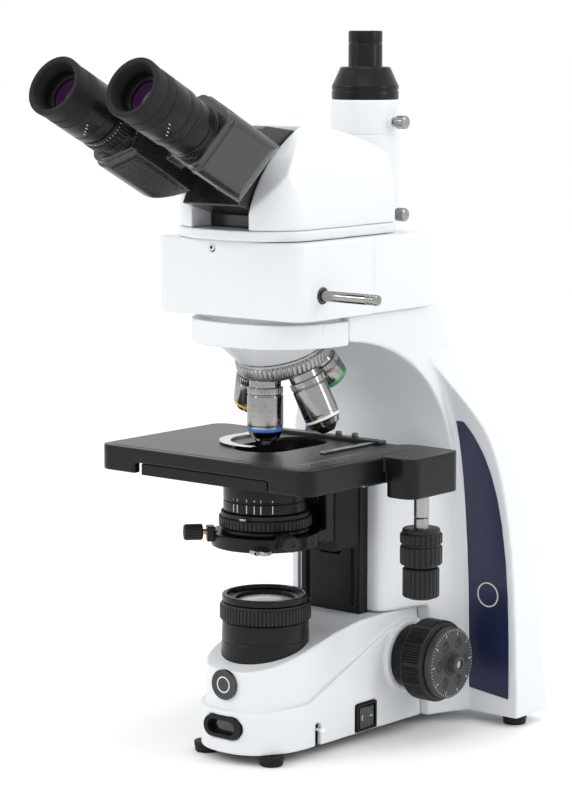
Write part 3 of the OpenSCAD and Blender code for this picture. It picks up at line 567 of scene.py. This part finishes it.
ring = lathe([
    (4.1, 11.9), (4.1, 2.6), (9, 0.3), (28.4, 0), (29, 0.6), (29, 2.2), (31, 2.4), (32, 3.2, 0, 1),
    (32, 9.2, 0, 1), (31, 10.2), (30.5, 10.6), (30.5, 12), (29.8, 12.2), (4.1, 12.2)],
    radius=0.3, flutes=60, depth=0.9)
make("nosepiece_ring", ring, [STEEL], TURRET, "nosepiece", ("turret_ring",))


def objective_at(i):
    """Shoulder of the i-th objective, counted round from the one in use. Its axis is Z, and its front is at -Z."""
    return TURRET @ turn(i * TURRET_STEP - 90, "Z") @ shift(TURRET_R, 0, 0) @ turn(-TURRET_TILT, "Y")


def objective(i, reach, band, name, nodes=(), tip=0):
    """An objective that reaches this far below its shoulder, with a colour band and rings of fine marks."""
    top = -5.8
    band_z = -reach * 0.75
    part = lathe([
        (0, 1), (9.9, 1), (9.9, -1), (10.6, -1.2), (10.6, top), (11.4, top - 0.2, 0, 1), (11.9, top - 0.6, 0, 1),
        (11.9, top - 4.6, 0, 1), (11.4, top - 5.0), (11.4, top - 5.6), (12, top - 6.0), (12, -reach * 0.70),
        (11.8, -reach * 0.71), (11.8, band_z, 1), (11.8, band_z - 1.7), (11.6, band_z - 2.0),
        (11.2, -reach * 0.80), (10.2, -reach * 0.86), (9.6, -reach * 0.895, tip), (8.6, -reach * 0.90, tip),
        (7.5, -reach * 0.905, tip), (7.2, -reach * 0.93, tip), (4.6, -reach * 0.995, tip), (4.0, -reach, tip),
        (2.9, -reach, 3), (2.4, -reach + 0.5, 3), (0, -reach + 0.35)], radius=0.25, flutes=40, depth=0.35)
    make(name, part, [CHROME, band, BLACK, COATED_PAINTED_SHADE], objective_at(i), "nosepiece", nodes)
    marks = bmesh.new()
    for z, width, count in ((-reach * 0.40, 0.5, 9), (-reach * 0.48, 0.35, 13), (-reach * 0.56, 0.3, 7)):
        for k in range(count):
            angle = 2 * math.pi * k / count
            spot = turn(math.degrees(angle), "Z") @ shift(12, 0, 0)
            brick(marks, (-0.05, -0.9, z), (0.05, 0.9, z + width * 0.5), spot)
    make(name + "_engraving", marks, [BLACK], objective_at(i), "nosepiece")


objective(0, 44.4, BLUE, "objective_blue", ("objective_front",))
objective(1, 44, CREAM, "objective_white", ("objectives_rear",), 2)
objective(2, 26, GREEN, "objective_short")
objective(4, 35, YELLOW, "objective_yellow")
plug = lathe([(0, 1), (9.9, 1), (9.9, -0.6), (10.4, -0.8, 0, 1), (10.4, -3.2, 0, 1), (9.4, -3.8), (0, -3.8)],
             radius=0.2, flutes=36, depth=0.3)
make("nosepiece_dust_cap", plug, [BLACK], objective_at(3), "nosepiece")

# ---- stage ----

inlay = bmesh.new()
slab(inlay, rounded(-92, -52, 78, 56, 5), STAGE_Z - 0.1, STAGE_Z + 0.14)
plate = make("stage_top_inlay", inlay, [BLACK], BENCH, "stage_y", bevel=0.00001)
hole = bmesh.new()
slab(hole, rounded(-21, -21, 21, 53, 20.9, 16), STAGE_Z - 5, STAGE_Z + 5)
cut(plate, hole, BENCH)
smooth(plate.data)
marks = bmesh.new()
for k in range(31):
    tall = 3.2 if k % 5 == 0 else 1.8
    brick(marks, (62, -38 + 2 * k - 0.11, STAGE_Z + 0.1), (62 + tall, -38 + 2 * k + 0.11, STAGE_Z + 0.2))
for k in range(6):
    digits(marks, str(k), 2.4, shift(68, -38 + 10 * k, STAGE_Z + 0.16))
make("stage_y_scale", marks, [MARK], BENCH, "stage_y")
marks = bmesh.new()
for k in range(41):
    tall = 1.8 if k % 5 == 0 else 1.1
    brick(marks, (-30 + k - 0.09, 57.4, STAGE_Z + 2.36), (-30 + k + 0.09, 57.4 + tall, STAGE_Z + 2.46))
make("specimen_scale", marks, [MARK], BENCH, "specimen_x")
marks = bmesh.new()
for x in (14, 28):
    knob = lathe([(0, HOLDER_Z), (2.1, HOLDER_Z), (2.3, STAGE_Z + 2.7, 0, 1), (2.3, STAGE_Z + 4.8, 0, 1),
                  (1.9, STAGE_Z + 5.3), (0, STAGE_Z + 5.3)], radius=0.2, flutes=14, depth=0.25)
    add(marks, knob, shift(x, 60.5, 0))
for x, y in ((-46, 62), (46, 62), (0, 62)):
    screw_head(marks, 1.5, 0.6, shift(x, y - 1, HOLDER_Z))
make("specimen_screws", marks, [CHROME, BLACK], BENCH, "specimen_x")
strip = bmesh.new()
brick(strip, (43.6, 3, STAGE_Z + 1.2), (48.4, 58, STAGE_Z + 1.6))
make("specimen_arm_strip", strip, [BRIGHT], BENCH, "specimen_x", bevel=0.15)
pivot = bmesh.new()
screw_head(pivot, 2.6, 0.5, shift(-46, 48, STAGE_Z + 1.7))
make("finger_pivot_screw", pivot, [CHROME, BLACK], BENCH, "finger")

guides = bmesh.new()
for x0, x1 in ((52.5, 55.5), (-69.5, -66.5)):
    slab(guides, rounded(x0, -40, x1, 50, 0.8, 3), 192, 196)
    for y in (-30, 5, 40):
        screw_head(guides, 1.1, 0.5, shift((x0 + x1) / 2, y, 192.2) @ turn(180, "X"))
brick(guides, (70, 5, 187.1), (80, 62, 188.6))
brick(guides, (72, 5, 186.6), (74, 62, 187.2))
sleeve = lathe([(3.1, 163), (4.6, 163), (4.9, 163.4), (4.9, 199), (3.1, 199)], 48, 0.2)
add(guides, sleeve, shift(DRIVE_X, DRIVE_Y, 0))
make("stage_guide_rails", guides, [STEEL, BLACK], BENCH, "stage_y", ("stage_guides",))

drive_at = BENCH @ shift(DRIVE_X, DRIVE_Y, 0)
knob = lathe([
    (3.15, 130.2), (10.8, 130.2), (11, 131.6), (13.4, 131.9), (14, 132.8, 0, 1), (14, 143.6, 0, 1), (13.4, 144.2),
    (12.6, 144.5), (12.6, 145.6), (13.4, 145.9), (14, 146.5, 0, 1), (14, 152, 0, 1), (13.2, 152.9),
    (12.5, 153.2), (12.5, 155.2), (11.8, 156), (5.4, 156, 1), (4.9, 156.3, 1), (4.9, 162.2, 1),
    (4.6, 162.6, 1), (3.15, 162.6, 1), (3.15, 152.6, 1)], radius=0.4, flutes=24, depth=0.8)
make("stage_y_grip", knob, [KNOB, STEEL], drive_at, "y_knob", ("stage_y_knob",))
knob = lathe([
    (0, 108.8), (8.4, 108.8), (9, 109.6), (11.4, 110), (12.2, 110.8, 0, 1), (12.2, 128.6, 0, 1), (11.4, 129.6),
    (3.02, 129.8), (3.0, 131, 1), (3.0, 196.9, 1), (0, 197, 1)], radius=0.35, flutes=24, depth=0.75)
make("stage_x_grip", knob, [KNOB, CHROME], drive_at, "x_knob", ("stage_x_knob",))

# ---- condenser ----

con = BENCH @ shift(0, 0, CONDENSER_Z)
body = lathe([
    (15.2, 0), (24, 0), (24, 1.5), (26.6, 1.7), (26.6, 9.3), (29.6, 9.5), (30, 10), (30, 11.8), (29.6, 12.2),
    (24, 12.3), (24, 23.4), (27.6, 23.6), (28, 24), (28, 30.4), (27.5, 30.7), (27.5, 31.6), (28, 31.9),
    (28, 41.4), (27.6, 41.7), (27.6, 42.4), (28, 42.7), (28, 45.2), (27.2, 46), (20, 46), (19.6, 53.4), (19, 54),
    (15.6, 54), (15.2, 53.2)], 144, 0.35)
make("condenser_barrel", body, [BLACK], con, "condenser", ("condenser_body",))
marks = bmesh.new()
for k, angle in enumerate((-98, -91, -76, -65, -56, -40)):
    brick(marks, (-0.05, -0.3, 24.6), (0.07, 0.3, 30.0), turn(angle, "Z") @ shift(28, 0, 0))
    facing = turn(angle, "Z") @ shift(28.02, 0, 33) @ turn(90, "Z") @ turn(90, "X")
    digits(marks, str(k + 1), 2.4, facing)
make("condenser_scale", marks, [MARK], con, "condenser")
lens = lathe([(0, 54.0), (3, 53.9), (6, 53.55), (9, 52.95), (12, 52.15), (14.8, 51.1), (14.8, 47.6), (0, 47.6)],
             96, 0, closed=False)
make("condenser_top_lens", lens, [LENS], con, "condenser", ("condenser_lens",), sharp=50)
lens = lathe([(0, 3.6), (14.8, 4.2), (14.8, 7.8), (0, 8.0)], 96, 0.1, closed=False)
make("condenser_field_lens", lens, [LENS], con, "condenser", sharp=50)
grip = lathe([(24.2, 12.7), (29.8, 12.7), (31, 13.6, 0, 1), (31, 19.4, 0, 1), (29.9, 20.2), (29.6, 20.6),
              (29.6, 22.8), (29, 23.1), (24.2, 23.1)], radius=0.3, flutes=64, depth=0.8)
make("aperture_grip", grip, [KNOB], con, "aperture_iris", ("iris_ring",))
tab = bmesh.new()
brick(tab, (29.2, -2.2, 20.9), (35.4, 2.2, 22.6), turn(-75, "Z"))
make("aperture_tab", tab, [STEEL], con, "aperture_iris", bevel=0.5, segments=3)

for name, angle in (("left", -132), ("right", -31)):
    node = "centring_screw_" + name
    screw = lathe([
        (0, 37.9, 1), (1.9, 38, 1), (1.9, 38.6, 1), (1.6, 38.8, 1), (1.9, 39.2, 1), (1.6, 39.6, 1), (1.9, 40, 1),
        (1.6, 40.4, 1), (1.9, 40.8, 1), (1.9, 41.9, 1), (4.6, 42.1), (5.4, 42.9, 0, 1), (5.4, 53.2, 0, 1),
        (4.7, 54.6), (2.0, 55), (1.5, 54.2), (0, 53.6)], radius=0.2, flutes=20, depth=0.5)
    make("centring_grip_" + name, screw, [KNOB, BRASS],
         BENCH @ turn(angle, "Z") @ shift(0, 0, CARRIER_Z) @ ALONG_X, "centring_" + name, (node,))
knob = lathe([(0, -54), (6, -54), (10, -53.6), (11, -52.6, 0, 1), (11, -42.4, 0, 1), (10.2, -41.2), (3, -41),
              (3, -30.5, 1), (0, -30.4, 1)], radius=0.4, flutes=26, depth=0.7)
make("condenser_grip", knob, [KNOB, STEEL], BENCH @ shift(0, 48, CARRIER_Z) @ ALONG_X, "condenser_drive",
     ("condenser_knob",))
clamp = bmesh.new()
brick(clamp, (18, -37.5, 141.6), (31, -30.2, 144.4))
screw_head(clamp, 1.8, 1.6, shift(24.5, -37.4, 143) @ turn(90, "X"))
make("carrier_clamp", clamp, [STEEL, BLACK], BENCH, "condenser", bevel=0.4, segments=3)

# ---- field lens ----

tube = lathe([
    (19.8, 60), (30.2, 60), (29.6, 70), (29.3, 76.4), (28.9, 76.8), (28.9, 77.8), (29.3, 78.2), (28.9, 89.6),
    (28.4, 90), (24, 90), (24, 103), (28.6, 103), (29, 103.5), (29, 106.9), (28.4, 107.5), (26.2, 107.5),
    (25.6, 106.9), (25.4, 105.4), (24, 104.8), (21, 104.6), (19.8, 104.2)], 144, 0.3)
make("field_lens_housing", tube, [BLACK], BENCH, "stand", ("field_lens_tube",))
lens = lathe([(0, 104.7), (5, 104.5), (10, 104.0), (15, 103.2), (19.6, 102.1), (19.6, 100.4), (0, 100.4)],
             96, 0, closed=False)
make("field_lens_glass", lens, [DIFFUSER], BENCH, "stand", ("field_lens",), sharp=50)
grip = lathe([(24.2, 90.6), (29.7, 90.6), (30.6, 91.4, 0, 1), (30.6, 100.2, 0, 1), (29.8, 101), (29.3, 101.4),
              (29.2, 102.4), (24.2, 102.4)], radius=0.25, flutes=72, depth=0.8)
make("field_iris_grip", grip, [KNOB], BENCH, "field_iris", ("field_iris_ring",))
tabs = bmesh.new()
for angle in (-150, -30, 90):
    brick(tabs, (25.8, -3, 106.8), (28.6, 3, 107.45), turn(angle, "Z"))
make("filter_seat_pads", tabs, [DARK_METAL], BENCH, "stand", bevel=0.15)

# ---- focus drive ----


def coarse_wave(angle):
    """Groups of fine grooves with a smooth land between the groups."""
    t = (angle / (2 * math.pi) * 12) % 1
    return 0.0 if t > 0.86 else max(0.0, math.sin(2 * math.pi * t * 7 / 0.86)) ** 0.7


for side, name in ((1, "right"), (-1, "left")):
    flip = turn(0 if side > 0 else 180, "Z")
    at = SHAFT @ flip @ ALONG_X
    knob = lathe([
        (6.6, 56), (26.4, 56), (27.6, 56.6), (28, 57.4, 0, 1), (28, 70.6, 0, 1), (27.4, 71.8), (26.4, 72.4),
        (26, 73.8), (25.4, 74), (23, 74), (22.1, 73.2), (22.1, 68), (6.6, 68)],
        radius=0.35, flutes=84, depth=0.9, wave=coarse_wave)
    nodes = ("coarse_knobs",) if side > 0 else ()
    make("coarse_grip_" + name, knob, [KNOB], at, "coarse_drive", nodes)
    dial = lathe([
        (3.05, 69), (21.4, 69), (21.5, 74.2), (24.1, 74.3), (24.5, 74.9), (24.5, 78.6), (23.9, 79.7), (22.4, 80),
        (8.2, 80), (7.6, 79.6), (6.6, 79.6), (6.2, 80.6), (6.1, 85.6), (5.4, 86.8), (4.2, 87), (3.05, 86.9)],
        128, 0.3)
    nodes = ("fine_knobs",) if side > 0 else ()
    cap = make("fine_dial_" + name, dial, [DIAL], at, "fine_drive", nodes)
    for k in range(6):
        dent = bmesh.new()
        bmesh.ops.create_uvsphere(dent, u_segments=32, v_segments=20, radius=4.1)
        cut(cap, dent, at @ turn(60 * k, "Z") @ shift(14.6, 0, 81.6))
    cap.data.materials.clear()
    cap.data.materials.append(DIAL)
    smooth(cap.data, 34)
    marks = bmesh.new()
    for k in range(60):
        deep = 1.9 if k % 6 == 0 else 1.1
        brick(marks, (23.4 - deep, -0.11, 79.9), (23.4, 0.11, 80.06), turn(6 * k, "Z"))
    for k in range(10):
        digits(marks, str(k), 2.5, turn(36 * k, "Z") @ shift(20.2, 0, 80.03) @ turn(-90, "Z"))
    make("fine_scale_" + name, marks, [MARK], at, "fine_drive")
sleeve = lathe([(6.6, -56), (17.4, -56), (18, -55.4), (18, -45.1), (17.4, -44.5), (6.6, -44.5)], 96, 0.3)
make("coarse_sleeve", sleeve, [BLACK], SHAFT @ ALONG_X, "coarse_drive")
cast("coarse_shaft", "coarse_drive", STEEL, 0.45, 1)
rod = lathe([(0, -86), (2.6, -86), (3, -85.4), (3, 85.4), (2.6, 86), (0, 86)], 48, 0.1)
make("fine_spindle", rod, [STEEL], SHAFT @ ALONG_X, "fine_drive", ("fine_shaft",))
screws = bmesh.new()
for z in (142, 172):
    for x in (-14, 14):
        screw_head(screws, 2.2, 1.0, shift(x, 36.4, z - 4) @ turn(90, "X"))
make("carriage_screws", screws, [DARK_METAL, BLACK], BENCH, "carriage")

# ---- base details ----

for k, (x, y) in enumerate(((-28.3, -27.7), (28.3, -27.7), (-90, 163), (90, 163))):
    foot = lathe([(0, 0), (7.2, 0), (7.8, 0.7), (8.0, 2.4), (7.8, 2.8), (8.2, 3.4), (8.6, 6.4), (8.4, 7),
                  (1.9, 7), (1.9, 9.5), (0, 9.5)], 64, 0.3)
    make("foot_%d" % (k + 1), foot, [RUBBER], BENCH @ shift(x, y, 0), "stand",
         ("foot_pads",) if k == 0 else ())
badge_at = BENCH @ shift(0, -40.8, 52.7) @ turn(90, "X")
badge = lathe([(0, 0), (10.1, 0), (10.2, 2.4), (9.9, 2.8), (9.0, 2.8), (8.7, 2.3, 1), (0, 2.3, 1)], 96, 0.2)
make("base_badge_disc", badge, [DARK_METAL, DIAL], badge_at, "stand", ("base_badge",))
emblem = lathe([(4.6, 2.25), (5.6, 2.25), (5.5, 2.6), (4.7, 2.6)], 64, 0.1)
make("base_badge_ring", emblem, [MARK], badge_at, "stand")
window = bmesh.new()
slab(window, rounded(-11.2, -4.4, 11.2, 4.4, 4.3), 40.8, 42.2)
make("front_window_pane", window, [GLOSS_BLACK], BENCH @ shift(0, 0, 24.5) @ turn(90, "X"),
     "stand", bevel=0.3)
ball = lathe([(0, 42.2 + 2.1), (1.1, 43.9), (1.9, 43.2), (2.15, 42.2), (1.9, 41.2), (1.0, 40.3),
              (1.0, 31), (0, 31)], 48, 0.2, closed=False)
make("brightness_ball", ball, [CREAM], BENCH @ shift(0, 8.5, 18.2) @ ALONG_X,
     "brightness", ("brightness_lever",))
slot = bmesh.new()
slab(slot, rounded(5.4, 7.0, 11.6, 22.9, 1.4), 34.6, 35.4)
make("brightness_slot_back", slot, [BLACK], BENCH @ ALONG_X, "stand", bevel=0.2)
marks = bmesh.new()
ring = lathe([(1.7, -0.05), (2.3, -0.05), (2.3, 0.06), (1.7, 0.06)], 32, 0)
add(marks, ring, shift(41.68, 53.9, 17.75) @ ALONG_X)
brick(marks, (41.55, 59.6, 17.4), (41.68, 63.4, 18.1))
make("switch_marks", marks, [MARK], BENCH, "power_switch")

for node, body, mat in (
        ("side_panels", "stand", NAVY), ("panel_rings", "stand", MARK), ("power_board", "stand", BOARD),
        ("lamp_module", "stand", STEEL), ("collector_lens", "stand", LENS), ("beam_mirror", "stand", MIRROR),
        ("focus_rack", "carriage", STEEL)):
    target = NODES[node]
    for k in range(len(target.material_slots)):
        target.material_slots[k].material = mat

# ---- floor, light and camera ----

floor_bm = bmesh.new()
slab(floor_bm, rounded(-FLOOR_HALF, -FLOOR_HALF, FLOOR_HALF, FLOOR_HALF, FLOOR_CORNER, 16), -FLOOR_THICK, 0)
mesh = bpy.data.meshes.new("floor")
floor_bm.to_mesh(mesh)
floor_bm.free()
mesh.transform(BENCH)
floor = link("floor", mesh)
floor.data.materials.append(finish("pale_floor", (0.97, 0.97, 0.97), 0.6, vary=0.004, mottle=3, grain=60,
                                   bump=0.01, specular=0.1))

world = bpy.data.worlds.new("studio")
bpy.context.scene.world = world
world.use_nodes = True
sky = world.node_tree.nodes["Background"]
sky.inputs["Color"].default_value = (1.0, 1.0, 1.0, 1)
sky.inputs["Strength"].default_value = WORLD_STRENGTH


def lamp(name, place, aim, width, height, watts, color=(1, 1, 1)):
    data = bpy.data.lights.new(name, "AREA")
    data.shape = "RECTANGLE"
    data.size, data.size_y = width, height
    data.energy = watts
    data.color = color
    obj = bpy.data.objects.new(name, data)
    bpy.context.scene.collection.objects.link(obj)
    obj.location = place
    obj.rotation_euler = (Vector(aim) - Vector(place)).to_track_quat("-Z", "Y").to_euler()


lamp("key", (-0.9, -1.5, 1.3), LAMP_AIM, 0.6, 0.8, 9, (1, 0.995, 0.985))
lamp("rim", (1.3, 0.5, 0.9), LAMP_AIM, 0.3, 0.9, 5)
lamp("top", (0.1, -0.1, 1.6), (0, 0, 0.2), 0.8, 0.8, 5)

data = bpy.data.cameras.new("camera")
camera = bpy.data.objects.new("camera", data)
bpy.context.scene.collection.objects.link(camera)
data.sensor_width = CAM_SENSOR
data.lens = CAM_LENS
data.clip_end = CAM_FAR
camera.location = CAM_PLACE
back = Vector((math.sin(CAM_AZ) * math.cos(CAM_EL), -math.cos(CAM_AZ) * math.cos(CAM_EL), math.sin(CAM_EL)))
camera.rotation_euler = (-back).to_track_quat("-Z", "Y").to_euler()
bpy.context.scene.camera = camera
bpy.context.scene.view_settings.view_transform = "Standard"
